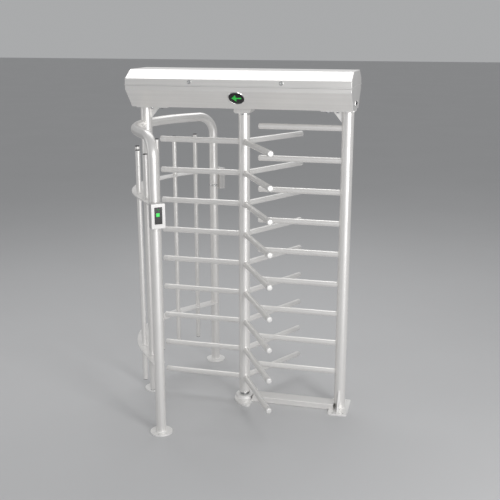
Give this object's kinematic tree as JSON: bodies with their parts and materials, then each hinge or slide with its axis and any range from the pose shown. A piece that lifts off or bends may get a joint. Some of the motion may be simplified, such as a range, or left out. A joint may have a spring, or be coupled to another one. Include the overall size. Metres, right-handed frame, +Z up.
{
  "type": "full-height turnstile",
  "caption": "Full-height single-lane turnstile: a winged rotor turns between a curved cage and a comb barrier, under a lidded head that holds the lock, damper and counter.",
  "frame": {"origin": "rotor axis at floor level, on the underside of the pedestal plate", "axes": "+X along the head from the cage towards the comb, +Y through the passage away from the entry side, +Z up"},
  "size_m": [1.4975, 1.438, 2.3],
  "materials": {
    "satin_steel": "satin, fine vertical brushing",
    "plate_steel": "bright satin",
    "zinc_bolt": "bright zinc",
    "machined_steel": "turned and ground",
    "polished_trim": "polished",
    "black_window": "gloss",
    "green_lamp": "lit lamp",
    "black_plastic": "matte",
    "brass_gear": "machined",
    "dark_housing": "matte",
    "board_green": "satin",
    "supply_case": "perforated sheet"
  },
  "bodies": {
    "frame": {"head_tray": "satin_steel", "cable_inlet": "black_plastic", "left_post": "satin_steel", "right_post": "satin_steel", "head_brackets": "satin_steel", "head_bolts": "zinc_bolt", "right_base_plate": "plate_steel", "base_gussets": "satin_steel", "base_beam": "satin_steel", "pedestal_plate": "plate_steel", "pedestal_collar": "plate_steel", "lower_bearing": "machined_steel", "bearing_block": "satin_steel", "upper_bearing": "machined_steel", "barrier_bars": "satin_steel", "front_hoop": "satin_steel", "rear_hoop": "satin_steel", "front_leg": "satin_steel", "rear_leg": "satin_steel", "foot_discs": "plate_steel", "lower_ring_plate": "plate_steel", "upper_ring_plate": "plate_steel", "cage_bars": "satin_steel", "front_reader_housing": "polished_trim", "front_reader_window": "black_window", "front_reader_lamps": "green_lamp", "rear_reader_housing": "polished_trim", "rear_reader_window": "black_window", "rear_reader_lamps": "green_lamp", "front_indicator_bezel": "polished_trim", "front_indicator_lens": "black_window", "rear_indicator_bezel": "polished_trim", "rear_indicator_lens": "black_window", "mechanism_plate": "machined_steel", "rotary_damper": "black_plastic", "counter_unit": "dark_housing", "solenoids": "black_plastic", "control_board": "board_green", "power_supply": "supply_case", "lock_keepers": "satin_steel", "tray_hinge_leaves": "satin_steel", "hinge_pins": "zinc_bolt"},
    "lid": {"head_lid": "satin_steel", "lid_hinge_leaves": "satin_steel", "lock_housings": "polished_trim"},
    "left_lock": {"left_lock_cam": "polished_trim"},
    "right_lock": {"right_lock_cam": "polished_trim"},
    "rotor": {"rotor_column": "satin_steel", "left_wing": "satin_steel", "front_wing": "satin_steel", "rear_wing": "satin_steel", "rotor_journals": "machined_steel", "drive_gear": "brass_gear", "lock_disc": "machined_steel"},
    "damper_gear": {"damper_pinion": "brass_gear"},
    "counter_gear": {"counter_pinion": "brass_gear"},
    "entry_pawl": {"entry_pawl": "machined_steel"},
    "exit_pawl": {"exit_pawl": "machined_steel"},
    "entry_plunger": {"entry_plunger": "machined_steel"},
    "exit_plunger": {"exit_plunger": "machined_steel"}
  },
  "joints": [
    {"name": "rotor_turn", "type": "hinge", "parent": "frame", "child": "rotor", "pos_m": [0, 0, 0], "axis": [0, 0, 1], "continuous": true},
    {"name": "damper_turn", "type": "hinge", "parent": "frame", "child": "damper_gear", "pos_m": [0.12, 0, 0], "axis": [0, 0, 1], "continuous": true},
    {"name": "counter_turn", "type": "hinge", "parent": "frame", "child": "counter_gear", "pos_m": [0.0792, 0.0792, 0], "axis": [0, 0, 1], "continuous": true},
    {"name": "lid_open", "type": "hinge", "parent": "frame", "child": "lid", "pos_m": [0, 0.2443, 2.204], "axis": [-1, 0, 0], "range_deg": [0, 95]},
    {"name": "left_lock_turn", "type": "hinge", "parent": "lid", "child": "left_lock", "pos_m": [-0.295, -0.24, 2.23], "axis": [0, 1, 0], "range_deg": [0, 90]},
    {"name": "right_lock_turn", "type": "hinge", "parent": "lid", "child": "right_lock", "pos_m": [0.295, -0.24, 2.23], "axis": [0, 1, 0], "range_deg": [0, 90]},
    {"name": "entry_pawl_swing", "type": "hinge", "parent": "frame", "child": "entry_pawl", "pos_m": [-0.06007, -0.10396, 2.08], "axis": [0, 0, -1], "range_deg": [0, 12], "stiffness_Nm_per_rad": 0.5, "springref_deg": -2.86},
    {"name": "exit_pawl_swing", "type": "hinge", "parent": "frame", "child": "exit_pawl", "pos_m": [-0.06007, 0.10396, 2.08], "axis": [0, 0, 1], "range_deg": [0, 12], "stiffness_Nm_per_rad": 0.5, "springref_deg": -2.86},
    {"name": "entry_plunger_slide", "type": "slide", "parent": "frame", "child": "entry_plunger", "axis": [0.866, 0.5, 0], "range_m": [0, 0.0075]},
    {"name": "exit_plunger_slide", "type": "slide", "parent": "frame", "child": "exit_plunger", "axis": [0.866, -0.5, 0], "range_m": [0, 0.0075]}
  ],
  "couplings": [
    {"joint": "damper_turn", "follows": "rotor_turn", "ratio": -4},
    {"joint": "counter_turn", "follows": "rotor_turn", "ratio": -6},
    {"joint": "entry_plunger_slide", "follows": "entry_pawl_swing", "m_per_rad": 0.034745},
    {"joint": "exit_plunger_slide", "follows": "exit_pawl_swing", "m_per_rad": 0.034745}
  ]
}
